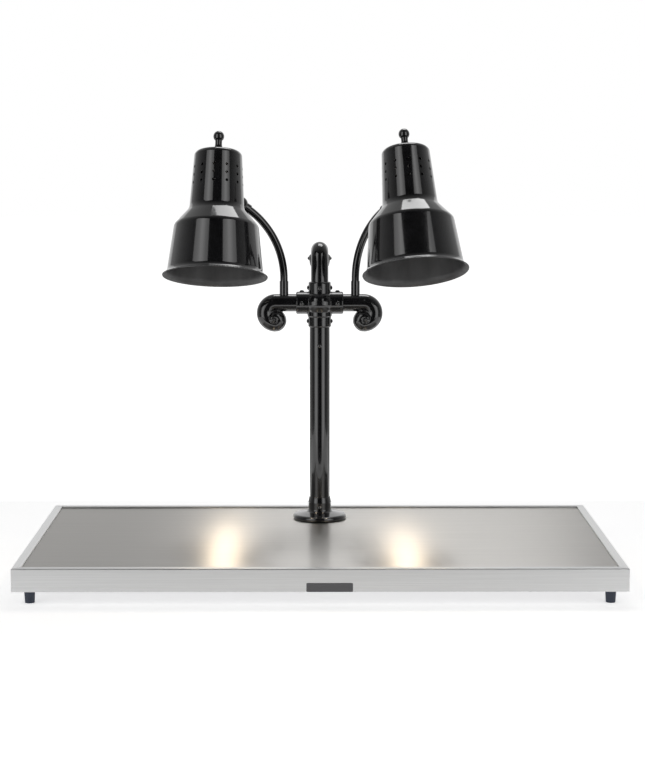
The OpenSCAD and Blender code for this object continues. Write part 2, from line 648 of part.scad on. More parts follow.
module left_arm_sleeve() arm_sleeve(-1);
module right_arm_sleeve() arm_sleeve(1);
module left_arm_tube() arm_tube(-1);
module left_ball_cup() ball_cup(-1);
module left_ball_stud() ball_stud(-1);
module left_stud_nut() stud_nut(-1);
module left_saddle() saddle(-1);
module left_shade() shade(-1);
module left_finial() finial(-1);
module left_washer() washer(-1);
module left_yoke() yoke(-1);
module left_lampholder() lampholder(-1);
module left_bulb_glass() bulb_glass(-1);
module left_bulb_base() bulb_base(-1);
module right_arm_tube() arm_tube(1);
module right_ball_cup() ball_cup(1);
module right_ball_stud() ball_stud(1);
module right_stud_nut() stud_nut(1);
module right_saddle() saddle(1);
module right_shade() shade(1);
module right_finial() finial(1);
module right_washer() washer(1);
module right_yoke() yoke(1);
module right_lampholder() lampholder(1);
module right_bulb_glass() bulb_glass(1);
module right_bulb_base() bulb_base(1);
module left_vent_cap() vent_cap(-1);
module right_vent_cap() vent_cap(1);

frame_front();
frame_right();
frame_rear();
frame_left();
deck_plate();
bottom_plate();
bottom_screws();
rubber_feet();
foot_screws();
label_plate();
heater_left();
heater_right();
insulation();
thermostat();
terminal_block();
cord_bushing();
lamp_switch_housing();
lamp_rocker();
base_switch_housing();
base_rocker();
backing_plate();
flange_bolts();
post_flange();
flange_set_screws();
post_tube();
post_dome_screw();
post_wiring();
hub();
hub_set_screws();
scroll_left();
scroll_right();
scroll_top();
left_arm_sleeve();
right_arm_sleeve();
left_arm_tube();
left_ball_cup();
left_ball_stud();
left_stud_nut();
left_saddle();
left_shade();
left_finial();
left_washer();
left_yoke();
left_lampholder();
left_bulb_glass();
left_bulb_base();
right_arm_tube();
right_ball_cup();
right_ball_stud();
right_stud_nut();
right_saddle();
right_shade();
right_finial();
right_washer();
right_yoke();
right_lampholder();
right_bulb_glass();
right_bulb_base();
left_vent_cap();
right_vent_cap();
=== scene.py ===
"""Looks of the countertop food-warming station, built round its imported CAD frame.

Metres. The front faces -Y and +Z is up. The lathe-turned and cast pieces are smooth meshes that stand for
their CAD nodes; every other CAD node keeps its shape and takes a procedural material.
"""

import json
import math

import bpy
import numpy as np
from mathutils import Matrix, Vector


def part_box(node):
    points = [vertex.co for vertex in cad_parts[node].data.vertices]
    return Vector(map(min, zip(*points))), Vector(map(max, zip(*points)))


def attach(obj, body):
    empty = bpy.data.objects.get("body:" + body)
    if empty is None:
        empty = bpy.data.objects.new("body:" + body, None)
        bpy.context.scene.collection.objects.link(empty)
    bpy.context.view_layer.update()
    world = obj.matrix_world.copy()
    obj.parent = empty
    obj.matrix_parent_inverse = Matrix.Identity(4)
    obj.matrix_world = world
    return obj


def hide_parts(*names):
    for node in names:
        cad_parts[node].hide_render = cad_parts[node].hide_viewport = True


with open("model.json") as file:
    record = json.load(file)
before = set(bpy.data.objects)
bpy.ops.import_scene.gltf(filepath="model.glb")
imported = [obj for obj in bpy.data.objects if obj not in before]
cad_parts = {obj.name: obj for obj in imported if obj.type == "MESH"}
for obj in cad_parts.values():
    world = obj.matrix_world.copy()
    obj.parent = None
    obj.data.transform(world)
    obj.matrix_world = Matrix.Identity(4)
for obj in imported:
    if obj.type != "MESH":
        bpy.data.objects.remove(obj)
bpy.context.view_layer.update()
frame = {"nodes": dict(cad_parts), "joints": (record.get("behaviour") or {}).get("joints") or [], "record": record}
NODES = frame["nodes"]
JOINTS = {j["name"]: j for j in frame["joints"]}
SIDES = ("left", "right")

# shade: the CAD shade's rim and wall, with true arcs at its bends, a softer shoulder and a lower crown
FLARE_TURN = 63.0        # degrees that the flared rim turns
FLARE_R = 0.01185
SHOULDER_Z = 0.0785
SHOULDER_R = 0.012       # convex bend into the shoulder
NECK_R = 0.020           # concave bend out of the shoulder
SHOULDER_SLOPE = 41.0
STEM_SLOPE = 3.6
STEM_R = 0.0440
CROWN_DROP = 0.0045      # how far the pressed crown sits below the CAD cap
CROWN_RISE = 0.0008      # how much the crown's middle stands above its edge
CROWN_SLOPE = 88.0
BODY_LEAN = 6.9
CAP_EDGE_R = 0.0085
SHADE_T = 0.0013
VENT_R = 0.0024
VENT_COLUMNS = 12
VENT_FIRST = 0.0300      # below the top of the crown
VENT_PITCH = 0.0133
VENT_ROWS = 3
VENT_PHASE = {"left": 4.0, "right": 0.0}    # degrees that the columns are turned by

# scroll, in its own frame: +X from the collar, curling down
SCROLL_TUBE_R = 0.0145
SCROLL_LEN = 0.034
CURL_R = 0.0168
CURL_END = 2 * CURL_R    # the curl's tube runs back this far below the straight tube
EYE_R = 0.0068
EYE_HALF_W = 0.0198
EYE_BULGE = 0.0006       # the eye stands proud of the tube's end by this much
EYE_OUT = 0.003          # the eye's middle from the end of the straight tube, outwards
EYE_DROP = 0.0262        # and downwards
EYE_TURN = 400           # degrees that the tube winds round the eye

# hub and flange castings
HUB_BELLY = (0.0262, 0.0262, 0.0222)
HUB_VOXEL = SCROLL_VOXEL = 0.0006
FLANGE_VOXEL = 0.0007

# finial, washer and bulb
FINIAL_BALL_R = 0.0089
FINIAL_NECK_R = 0.0056
FINIAL_SKIRT_R = 0.0088
WASHER_HOLE_R = 0.0031
BULB_NECK_R = 0.0132
BULB_EDGE_R = 0.013


# ---------------------------------------------------------------- materials
class Shader:
    """A principled material with short helpers for its node tree."""

    def __init__(self, name, color, metallic=0.0, roughness=0.4, **sockets):
        self.material = bpy.data.materials.new(name)
        self.material.use_nodes = True
        self.tree = self.material.node_tree
        self.bsdf = self.tree.nodes["Principled BSDF"]
        self.set("Base Color", (*color, 1.0))
        self.set("Metallic", metallic)
        self.set("Roughness", roughness)
        for socket, value in sockets.items():
            self.set(socket.replace("_", " "), value)
        self.color = color
        self.place = self.tree.nodes.new("ShaderNodeTexCoord").outputs["Object"]

    def set(self, socket, value):
        self.bsdf.inputs[socket].default_value = value

    def link(self, output, socket):
        self.tree.links.new(output, self.bsdf.inputs[socket])

    def noise(self, scale, stretch=(1, 1, 1), detail=3.0, rough=0.55):
        """Noise in the object's own metres: scale is in cells to the metre."""
        mapping = self.tree.nodes.new("ShaderNodeMapping")
        mapping.inputs["Scale"].default_value = stretch
        self.tree.links.new(self.place, mapping.inputs["Vector"])
        node = self.tree.nodes.new("ShaderNodeTexNoise")
        node.inputs["Scale"].default_value = scale
        node.inputs["Detail"].default_value = detail
        node.inputs["Roughness"].default_value = rough
        self.tree.links.new(mapping.outputs["Vector"], node.inputs["Vector"])
        return node.outputs["Fac"]

    def between(self, fac, low, high):
        """fac, which is mostly 0.3 to 0.7, spread from low to high."""
        node = self.tree.nodes.new("ShaderNodeMapRange")
        for socket, value in (("From Min", 0.3), ("From Max", 0.7), ("To Min", low), ("To Max", high)):
            node.inputs[socket].default_value = value
        self.tree.links.new(fac, node.inputs["Value"])
        return node.outputs["Result"]

    def vary_color(self, fac, low=0.9, high=1.1):
        """Base colour times low to high."""
        ramp = self.tree.nodes.new("ShaderNodeValToRGB")
        for element, position, share in zip(ramp.color_ramp.elements, (0.3, 0.7), (low, high)):
            element.position = position
            element.color = (*(min(1.0, c * share) for c in self.color), 1.0)
        self.tree.links.new(fac, ramp.inputs["Fac"])
        self.link(ramp.outputs["Color"], "Base Color")

    def vary_roughness(self, fac, low, high):
        self.link(self.between(fac, low, high), "Roughness")

    def bump(self, fac, distance, strength=1.0):
        node = self.tree.nodes.new("ShaderNodeBump")
        node.inputs["Distance"].default_value = distance
        node.inputs["Strength"].default_value = strength
        self.tree.links.new(fac, node.inputs["Height"])
        self.link(node.outputs["Normal"], "Normal")

    def tangent(self, direction):
        """Highlights stretch along direction."""
        node = self.tree.nodes.new("ShaderNodeCombineXYZ")
        for i in range(3):
            node.inputs[i].default_value = direction[i]
        self.link(node.outputs["Vector"], "Tangent")


def enamel(name, waviness, grit):
    """Gloss black: waviness is the slow ripple of the metal below, grit the texture of a casting."""
    s = Shader(name, (0.0045, 0.0045, 0.005), roughness=0.1, Coat_Weight=1.0, Coat_Roughness=0.025)
    s.vary_color(s.noise(60), 0.7, 1.5)
    s.vary_roughness(s.noise(220, detail=6), 0.07, 0.15)
    s.bump(s.noise(420 if grit else 70, detail=4), grit or waviness, 0.6)
    return s.material


def shade_inside():
    s = Shader("shade_inside_satin", (0.05, 0.05, 0.051), roughness=0.36)
    # painted reflection: the colour is lighter and darker in bands that run up the wall, standing in for the
    # streaky reflections inside the shade
    s.vary_color(s.noise(40, (1, 1, 0.2)), 0.8, 1.3)
    s.vary_roughness(s.noise(160, detail=5), 0.34, 0.5)
    s.bump(s.noise(900), 0.00004, 0.5)
    return s.material


def brushed(name, color, grain, streak, rough=(0.24, 0.36), anisotropic=0.75, depth=0.000006):
    """Brushed metal: grain stretches the noise along the brushing. Highlights spread along streak."""
    s = Shader(name, color, metallic=1.0, roughness=0.3, Anisotropic=anisotropic)
    s.vary_color(s.noise(1.0, tuple(g * 520 for g in grain), detail=5, rough=0.7), 0.93, 1.06)
    s.vary_roughness(s.noise(1.0, tuple(g * 260 for g in grain), detail=6, rough=0.7), *rough)
    s.bump(s.noise(1.0, tuple(g * 1500 for g in grain), detail=2), depth, 0.5)
    s.tangent(streak)
    return s.material


def plain_metal(name, color, roughness):
    s = Shader(name, color, metallic=1.0, roughness=roughness)
    s.vary_color(s.noise(90), 0.85, 1.1)
    s.vary_roughness(s.noise(300, detail=5), roughness * 0.75, roughness * 1.3)
    s.bump(s.noise(800), 0.00001, 0.4)
    return s.material


def plain(name, color, roughness, grain=500, depth=0.00003, **sockets):
    """A moulded, fired, cured or felted material: its colour drifts and its surface has a fine grain."""
    s = Shader(name, color, roughness=roughness, **sockets)
    s.vary_color(s.noise(45, detail=5), 0.84, 1.14)
    s.vary_roughness(s.noise(grain * 0.5), roughness * 0.85, min(1.0, roughness * 1.15))
    s.bump(s.noise(grain, detail=5), depth, 0.6)
    return s.material


ALONG_X, ALONG_Y = (0.01, 1.0, 1.0), (1.0, 0.01, 1.0)
MATERIALS = {
    "black_enamel": enamel("gloss_enamel", 0.00003, 0),
    "black_casting": enamel("gloss_over_casting", 0, 0.00009),
    "deck": brushed("brushed_deck", (0.67, 0.655, 0.63), ALONG_X, (0, 1, 0), (0.29, 0.35), 1.0),
    "rail": brushed("satin_rail_x", (0.74, 0.745, 0.745), ALONG_X, (0, 0.7, 0.7), (0.3, 0.4), 0.6),
    "rail_side": brushed("satin_rail_y", (0.74, 0.745, 0.745), ALONG_Y, (0.7, 0, 0.7), (0.3, 0.4), 0.6),
    "plate_blank": brushed("dark_plate", (0.13, 0.13, 0.135), ALONG_X, (0, 0, 1), (0.36, 0.46), 0.4),
    "plain_steel": plain_metal("mill_steel", (0.52, 0.52, 0.53), 0.42),
    "zinc": plain_metal("zinc_plate", (0.62, 0.62, 0.64), 0.24),
    "brass": plain_metal("brass_shell", (0.70, 0.53, 0.25), 0.3),
    "foot_rubber": plain("foot_rubber", (0.022, 0.03, 0.05), 0.6),
    "heater_rubber": plain("heater_silicone", (0.55, 0.16, 0.05), 0.55, grain=900, depth=0.00006),
    "wool": plain("mineral_wool", (0.62, 0.54, 0.30), 0.95, grain=260, depth=0.0012, Sheen_Weight=0.4),
    "bakelite": plain("bakelite", (0.12, 0.045, 0.022), 0.3),
    "ceramic": plain("glazed_porcelain", (0.82, 0.80, 0.74), 0.18, Coat_Weight=0.6),
    "black_nylon": plain("black_nylon", (0.018, 0.018, 0.019), 0.42, grain=1400, depth=0.00004),
    "wire": plain("wire_jacket", (0.07, 0.07, 0.08), 0.45),
    "bulb_glass": plain("frosted_glass", (0.86, 0.83, 0.76), 0.34, Transmission_Weight=0.35, IOR=1.48),
    "bulb_silver": plain_metal("silvered_glass", (0.86, 0.85, 0.82), 0.12),
    "shade_inside": shade_inside(),
}
SLOT_OF = {part["node"]: part["material_slot"] for part in frame["record"]["subparts"]}


def paint(obj, *slots):
    """Gives obj these materials. Its faces keep the slot numbers that they have."""
    faces = obj.data.polygons
    numbers = [0] * len(faces)
    faces.foreach_get("material_index", numbers)
    obj.data.materials.clear()
    for slot in slots:
        obj.data.materials.append(MATERIALS[slot])
    faces.foreach_set("material_index", [min(n, len(slots) - 1) for n in numbers])


for node, obj in NODES.items():
    paint(obj, "rail_side" if node in ("frame_left", "frame_right") else SLOT_OF[node])


# ---------------------------------------------------------------- outlines and meshes
class Outline:
    """A line of (r, z) points drawn with straight runs and true bends. A heading of 0 goes up, 90 inwards."""

    def __init__(self, r, z, heading):
        self.r, self.z, self.heading = r, z, heading
        self.points = [(r, z, heading)]

    def forward(self, length):
        a = math.radians(self.heading)
        self.r -= length * math.sin(a)
        self.z += length * math.cos(a)
        self.points.append((self.r, self.z, self.heading))
        return self

    def up_to(self, z):
        return self.forward((z - self.z) / math.cos(math.radians(self.heading)))

    def in_to(self, r):
        return self.forward((self.r - r) / math.sin(math.radians(self.heading)))

    def bend(self, radius, angle, steps=10):
        """Turns by angle, inwards when it is positive, on an arc of radius."""
        side = 1 if angle > 0 else -1
        step = math.radians(angle) / steps
        for _ in range(steps):
            a = math.radians(self.heading)
            self.r += side * radius * (math.cos(a + step) - math.cos(a))
            self.z += side * radius * (math.sin(a + step) - math.sin(a))
            self.heading += math.degrees(step)
            self.points.append((self.r, self.z, self.heading))
        return self

    def line(self):
        return [(max(r, 0.0), z) for r, z, _ in self.points]

    def inner(self, wall):
        """The same line moved inwards by wall, run backwards."""
        return [(max(r - wall * math.cos(math.radians(h)), 0.0), z - wall * math.sin(math.radians(h)))
                for r, z, h in reversed(self.points)]


def mesh_object(name, verts, faces, smooth=True):
    mesh = bpy.data.meshes.new(name)
    mesh.from_pydata([tuple(v) for v in verts], [], faces)
    mesh.validate()
    mesh.polygons.foreach_set("use_smooth", [smooth] * len(mesh.polygons))
    obj = bpy.data.objects.new(name, mesh)
    bpy.context.scene.collection.objects.link(obj)
    return obj


def lathe(name, line, segments=128, face_slot=None):
    """Turns a line of (r, z) points about Z. Points on the axis become one vertex. A line that doesn't start
    and end on the axis is closed. face_slot(i) gives the material index of the band after point i."""
    verts, rings = [], []
    for r, z in line:
        if r < 1e-7:
            rings.append([len(verts)])
            verts.append((0, 0, z))
        else:
            rings.append(list(range(len(verts), len(verts) + segments)))
            verts += [(r * math.cos(2 * math.pi * k / segments), r * math.sin(2 * math.pi * k / segments), z)
                      for k in range(segments)]
    faces, slots = [], []
    closed = len(rings[0]) > 1 or len(rings[-1]) > 1
    for i in range(len(rings) if closed else len(rings) - 1):
        a, b = rings[i], rings[(i + 1) % len(rings)]
        if len(a) == 1 and len(b) == 1:
            continue
        for k in range(segments):
            m = (k + 1) % segments
            corner = [a[k % len(a)], a[m % len(a)], b[m % len(b)], b[k % len(b)]]
            faces.append(list(dict.fromkeys(corner)))
            slots.append(face_slot(i) if face_slot else 0)
    obj = mesh_object(name, verts, faces)
    obj.data.polygons.foreach_set("material_index", slots)
    return obj


def copy_of(node, name, move=Vector((0, 0, 0)), smooth=True):
    """A new object with a CAD node's mesh, moved by move."""
    mesh = NODES[node].data
    return mesh_object(name, [v.co + move for v in mesh.vertices],
                       [list(p.vertices) for p in mesh.polygons], smooth)


def baked(obj):
    """obj with its modifiers applied for good."""
    depsgraph = bpy.context.evaluated_depsgraph_get()
    mesh = bpy.data.meshes.new_from_object(obj.evaluated_get(depsgraph))
    obj.modifiers.clear()
    obj.data = mesh
    return obj


def joined(name, parts):
    """One object that holds all the parts' meshes."""
    verts, faces = [], []
    for part in parts:
        start = len(verts)
        verts += [part.matrix_world @ v.co for v in part.data.vertices]
        faces += [[start + v for v in p.vertices] for p in part.data.polygons]
        bpy.data.objects.remove(part)
    return mesh_object(name, verts, faces)


def cast(obj, voxel, rounds):
    """Melts obj's solids into one skin whose inner corners are filleted, as a casting's are."""
    remesh = obj.modifiers.new("skin", "REMESH")
    remesh.mode = "VOXEL"
    remesh.voxel_size = voxel
    remesh.use_smooth_shade = True
    soften = obj.modifiers.new("soften", "SMOOTH")
    soften.factor = 0.5
    soften.iterations = rounds
    return baked(obj)


def fit_piece(obj, body, slot, *nodes):
    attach(obj, body)
    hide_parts(*nodes)
    return obj


def body_of(node):
    return next(b for b, members in frame["record"]["behaviour"]["bodies"].items() if node in members)


# ---------------------------------------------------------------- lamps
def corners(node):
    return np.array([v.co for v in NODES[node].data.vertices])


class LampFrame:
    """A lamp's own frame: the origin in the middle of the rim, +Z up the shade, +X away from the arm."""

    def __init__(self, side):
        x = Vector(JOINTS[side + "_lamp_twist"]["axis"]).normalized()
        y = Vector(JOINTS[side + "_lamp_tilt"]["axis"]).normalized()
        self.axes = np.array([x, y, x.cross(y).normalized()])
        local = corners(side + "_shade") @ self.axes.T
        low, high = local.min(0), local.max(0)
        self.rim_r = (high[1] - low[1]) / 2
        middle = (low + high) / 2
        self.origin = np.array([middle[0], middle[1], low[2]])
        turn = Matrix(self.axes.T.tolist()).to_4x4()
        self.matrix = Matrix.Translation(Vector(self.origin @ self.axes)) @ turn

    def span(self, node):
        """Lowest and highest corner of a node in this frame."""
        local = corners(node) @ self.axes.T - self.origin
        return local.min(0), local.max(0)


def shade_outline(rim_r, height):
    """The shade's outer line from the rim to the middle of the crown, and where its stem starts and ends."""
    line = Outline(rim_r, 0.0, BODY_LEAN + FLARE_TURN).bend(FLARE_R, -FLARE_TURN, 14)
    line.up_to(SHOULDER_Z).bend(SHOULDER_R, SHOULDER_SLOPE - BODY_LEAN, 12)
    slope, stem = math.radians(SHOULDER_SLOPE), math.radians(STEM_SLOPE)
    line.in_to(STEM_R + NECK_R * (math.cos(stem) - math.cos(slope)))
    line.bend(NECK_R, STEM_SLOPE - SHOULDER_SLOPE, 14)
    stem_start = line.z
    edge_rise = CAP_EDGE_R * (math.sin(math.radians(CROWN_SLOPE)) - math.sin(stem))
    line.up_to(height - CROWN_RISE - edge_rise)
    stem_end = line.z
    line.bend(CAP_EDGE_R, CROWN_SLOPE - STEM_SLOPE, 14)
    line.points.append((line.r * 0.5, height - CROWN_RISE * 0.25, 89.0))
    line.points.append((0.0, height, 90.0))
    return line, stem_start, stem_end


def vent_cutter(height, phase):
    """Every vent hole as one object of round bars that point outwards."""
    verts, faces, sides = [], [], 24
    for column in range(VENT_COLUMNS):
        turn = Matrix.Rotation(2 * math.pi * column / VENT_COLUMNS + phase, 4, "Z")
        for row in range(VENT_ROWS):
            z = height - VENT_FIRST - row * VENT_PITCH
            start = len(verts)
            for x in (STEM_R - 0.012, STEM_R + 0.006):
                for k in range(sides):
                    a = 2 * math.pi * k / sides
                    verts.append(turn @ Vector((x, VENT_R * math.cos(a), z + VENT_R * math.sin(a))))
            faces += [[start + k, start + (k + 1) % sides, start + sides + (k + 1) % sides, start + sides + k]
                      for k in range(sides)]
            faces += [[start + k for k in reversed(range(sides))], [start + sides + k for k in range(sides)]]
    return mesh_object("vent_cutter", verts, faces)


def make_shade(side, lamp):
    """The bell and its vented cap: gloss outside, satin inside, with true holes."""
    height = lamp.span(side + "_vent_cap")[1][2] - CROWN_DROP
    outline, stem_start, stem_end = shade_outline(lamp.rim_r, height)
    outer = outline.line()
    inner = outline.inner(SHADE_T)
    shade = lathe(side + "_shade_shell", outer + inner, 144, lambda i: 1 if i > len(outer) - 1 else 0)
    paint(shade, "black_enamel", "shade_inside")
    cutter = vent_cutter(height, math.radians(VENT_PHASE[side]))
    cut = shade.modifiers.new("vents", "BOOLEAN")
    cut.operation, cut.solver, cut.object = "DIFFERENCE", "EXACT", cutter
    baked(shade)
    bpy.data.objects.remove(cutter)
    mesh = shade.data
    mesh.polygons.foreach_set("use_smooth", [True] * len(mesh.polygons))
    # the stem is a plain cone: its true normals keep the holes' edges from denting its reflections
    slope = math.radians(STEM_SLOPE)
    normals = np.zeros((len(mesh.loops), 3))
    for p in mesh.polygons:
        c = p.center
        if not stem_start - 0.001 < c.z < stem_end + 0.001 or c.xy.length < STEM_R * 0.8:
            continue
        facing = p.normal.xy.dot(c.xy.normalized())
        if abs(facing) < 0.8:
            continue
        sign = 1.0 if facing > 0 else -1.0
        for k in p.loop_indices:
            v = mesh.vertices[mesh.loops[k].vertex_index].co
            out = v.xy.normalized() * math.cos(slope)
            normals[k] = (sign * out.x, sign * out.y, sign * math.sin(slope))
    mesh.normals_split_custom_set(normals.tolist())
    shade.matrix_world = lamp.matrix
    return fit_piece(shade, side + "_lamp", "black_enamel", side + "_shade", side + "_vent_cap")


def make_finial(side, lamp):
    """A turned knob: a skirt, a waisted neck and a ball."""
    bottom = lamp.span(side + "_washer")[1][2] - CROWN_DROP
    ball_z = lamp.span(side + "_finial")[1][2] - FINIAL_BALL_R
    soft, skirt_h, step_in = 0.0006, 0.0018, 0.0008
    line = [(0.0, bottom), (FINIAL_SKIRT_R - soft, bottom), (FINIAL_SKIRT_R, bottom + soft),
            (FINIAL_SKIRT_R, bottom + skirt_h)]
    neck_start, neck_h, steps = 0.0022, 0.0100, 12
    for i in range(steps + 1):
        t = i / steps
        spread = (FINIAL_SKIRT_R - step_in - FINIAL_NECK_R) * (1 - t) ** 2.2
        line.append((FINIAL_NECK_R + spread, bottom + neck_start + neck_h * t))
    meet = math.acos(FINIAL_NECK_R / FINIAL_BALL_R)
    line += [(FINIAL_BALL_R * math.cos(a), ball_z + FINIAL_BALL_R * math.sin(a))
             for a in np.linspace(-meet, math.pi / 2, 26)]
    finial = lathe(side + "_finial_knob", line, 64)
    paint(finial, "black_enamel")
    finial.matrix_world = lamp.matrix
    return fit_piece(finial, side + "_lamp", "black_enamel", side + "_finial")


def make_washer(side, lamp):
    """A flat ring with soft edges."""
    low, high = lamp.span(side + "_washer")
    r, soft = high[1], 0.0004
    bottom, top = low[2] - CROWN_DROP, high[2] - CROWN_DROP
    washer = lathe(side + "_washer_ring", [
        (WASHER_HOLE_R, bottom), (r - soft, bottom), (r, bottom + soft),
        (r, top - soft), (r - soft, top), (WASHER_HOLE_R, top)], 64)
    paint(washer, "zinc")
    washer.matrix_world = lamp.matrix
    return fit_piece(washer, side + "_lamp", "zinc", side + "_washer")


def make_bulb(side, lamp):
    """A reflector bulb: a frosted face, silvered sides and a neck."""
    low, high = lamp.span(side + "_bulb_glass")
    r, face_z = high[1], low[2]
    line = [(0.0, face_z), (r * 0.4, face_z + 0.0008), (r * 0.7, face_z + 0.0028)]
    edge_z = face_z + 0.0178
    line += [(r - BULB_EDGE_R + BULB_EDGE_R * math.cos(a), edge_z + BULB_EDGE_R * math.sin(a))
             for a in np.radians(np.linspace(-62, 25, 14))]
    face_points = 9
    start_r, start_z = line[-1]
    steps = 22
    for i in range(1, steps + 1):
        t = i / steps
        ease = (1 + math.cos(math.pi * t)) / 2 * (1 - 0.12 * math.sin(math.pi * t))
        line.append((BULB_NECK_R + (start_r - BULB_NECK_R) * ease, start_z + (high[2] - start_z) * t))
    line.append((0.0, high[2]))
    bulb = lathe(side + "_bulb", line, 96, lambda i: 0 if i < face_points else 1)
    paint(bulb, "bulb_glass", "bulb_silver")
    bulb.matrix_world = lamp.matrix
    return fit_piece(bulb, side + "_lamp", "bulb_glass", side + "_bulb_glass")


def make_yoke(side, lamp):
    """The lampholder's yoke, as far down as the crown that it hangs from."""
    yoke = copy_of(side + "_yoke", side + "_yoke_strap", Vector(lamp.axes[2]) * -CROWN_DROP, smooth=False)
    paint(yoke, SLOT_OF[side + "_yoke"])
    return fit_piece(yoke, side + "_lamp", SLOT_OF[side + "_yoke"], side + "_yoke")


LAMPS = {side: LampFrame(side) for side in SIDES}
for side, lamp in LAMPS.items():
    make_yoke(side, lamp)
    make_shade(side, lamp)
    make_finial(side, lamp)
    make_washer(side, lamp)
    make_bulb(side, lamp)


# ---------------------------------------------------------------- castings
def sweep(name, path, half_widths, sides=40):
    """A tube along path, a list of (x, z) points in one plane, with half_widths (in the plane, across it)."""
    verts, faces = [], []
    n = len(path)
    for i, (x, z) in enumerate(path):
        before, after = path[max(i - 1, 0)], path[min(i + 1, n - 1)]
        along = Vector((after[0] - before[0], 0, after[1] - before[1])).normalized()
        side = Vector((-along.z, 0, along.x))
        a, b = half_widths[i]
        for k in range(sides):
            t = 2 * math.pi * k / sides
            verts.append(Vector((x, 0, z)) + side * a * math.cos(t) + Vector((0, 1, 0)) * b * math.sin(t))
    for i in range(n - 1):
        for k in range(sides):
            m = (k + 1) % sides
            faces.append([i * sides + k, i * sides + m, (i + 1) * sides + m, (i + 1) * sides + k])
    faces += [list(range(sides)), [(n - 1) * sides + k for k in reversed(range(sides))]]
    return mesh_object(name, verts, faces)


def scroll_path():
    """From the collar along the tube, round the curl and into the eye. Each point has its half-widths."""
    path, widths = [], []

    def add(x, z, a, b):
        path.append((x, z))
        widths.append((a, b))

    start = -0.012
    for i in range(12):
        add(start + (SCROLL_LEN - start) * i / 12, 0.0, SCROLL_TUBE_R, SCROLL_TUBE_R)
    for i in range(37):
        a = math.radians(180 * i / 36)
        add(SCROLL_LEN + CURL_R * math.sin(a), -CURL_R + CURL_R * math.cos(a), SCROLL_TUBE_R, SCROLL_TUBE_R)
    steps = 90
    reach, last = CURL_END - EYE_DROP, 0.0004
    for i in range(1, steps + 1):
        t = i / steps
        a = math.radians(180 + EYE_TURN * t)
        rho = reach * (1 - t) ** 0.85 + last
        thick = EYE_R + (SCROLL_TUBE_R - EYE_R) * (1 - t) ** 1.7
        wide = SCROLL_TUBE_R + (EYE_HALF_W - SCROLL_TUBE_R) * t ** 0.8
        add(SCROLL_LEN + EYE_OUT * t + rho * math.sin(a), -EYE_DROP + rho * math.cos(a), thick, wide)
    return path, widths


def ellipsoid(name, centre, radii):
    """A swelling for a casting; cast() melts it into the rest."""
    bpy.ops.mesh.primitive_uv_sphere_add(segments=48, ring_count=24)
    obj = bpy.context.object
    obj.name = name
    obj.data.transform(Matrix.Translation(centre) @ Matrix.Diagonal((*radii, 1)))
    return obj


def make_scrolls(hub_low, hub_high, origin):
    """The three scrolls, from one casting. origin is where the axes of the post and the side tubes cross."""
    path, widths = scroll_path()
    tube = sweep("scroll_tube", path, widths)
    eye_middle = Vector((SCROLL_LEN + EYE_OUT, 0, -EYE_DROP))
    eye = ellipsoid("scroll_eye", eye_middle, (EYE_R, EYE_HALF_W + EYE_BULGE, EYE_R))
    melted = cast(joined("scroll_casting", [tube, eye]), SCROLL_VOXEL, 4)
    turns = {
        "scroll_right": (Matrix.Identity(4), Vector((hub_high.x, 0, 0))),
        "scroll_left": (Matrix.Rotation(math.pi, 4, "Z"), Vector((hub_low.x, 0, 0))),
        "scroll_top": (Matrix.Rotation(math.pi / 2, 4, "Z") @ Matrix.Rotation(-math.pi / 2, 4, "Y"),
                       Vector((0, 0, hub_high.z - origin.z))),
    }
    for node, (turn, out) in turns.items():
        piece = bpy.data.objects.new(node + "_casting", melted.data.copy())
        bpy.context.scene.collection.objects.link(piece)
        piece.matrix_world = Matrix.Translation(origin + out) @ turn
        paint(piece, "black_casting")
        fit_piece(piece, body_of(node), "black_casting", node)
    bpy.data.objects.remove(melted)


def make_casting(node, voxel, rounds, *swells):
    """The node's own solid, and any swells on it, with the corners melted into fillets."""
    piece = copy_of(node, node + "_casting")
    if swells:
        piece = joined(node + "_casting", [piece, *swells])
    cast(piece, voxel, rounds)
    paint(piece, "black_casting")
    return fit_piece(piece, body_of(node), "black_casting", node)


def make_castings():
    hub_low, hub_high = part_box("hub")
    post_low, post_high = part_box("post_tube")
    tube_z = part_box("scroll_left")[1].z - SCROLL_TUBE_R
    post = (post_low + post_high) / 2
    make_scrolls(hub_low, hub_high, Vector((post.x, post.y, tube_z)))
    hub = (hub_low + hub_high) / 2
    make_casting("hub", HUB_VOXEL, 6, ellipsoid("hub_belly", Vector((hub.x, hub.y, tube_z)), HUB_BELLY))
    make_casting("post_flange", FLANGE_VOXEL, 6)


make_castings()


# ---------------------------------------------------------------- blank plate on the front rail
def make_label():
    """A thin plate with round corners and a soft edge."""
    low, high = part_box("label_plate")
    corner, steps, soft = 0.0016, 6, 0.00025
    outline = []
    for cx, cz, start in ((high.x - corner, high.z - corner, 0), (low.x + corner, high.z - corner, 90),
                          (low.x + corner, low.z + corner, 180), (high.x - corner, low.z + corner, 270)):
        outline += [(cx + corner * math.cos(math.radians(start + 90 * k / steps)),
                     cz + corner * math.sin(math.radians(start + 90 * k / steps))) for k in range(steps + 1)]
    middle = ((low.x + high.x) / 2, (low.z + high.z) / 2)
    verts, n = [], len(outline)
    for y, inset in ((high.y, 0.0), (low.y + soft, 0.0), (low.y, soft)):
        for x, z in outline:
            toward = Vector((middle[0] - x, middle[1] - z)).normalized() * inset
            verts.append((x + toward.x, y, z + toward.y))
    faces = [[r * n + k, r * n + (k + 1) % n, (r + 1) * n + (k + 1) % n, (r + 1) * n + k]
             for r in range(2) for k in range(n)]
    faces += [[k for k in reversed(range(n))], [2 * n + k for k in range(n)]]
    plate = mesh_object("blank_plate", verts, faces, smooth=False)
    paint(plate, "plate_blank")
    return fit_piece(plate, "base", "plate_blank", "label_plate")


make_label()


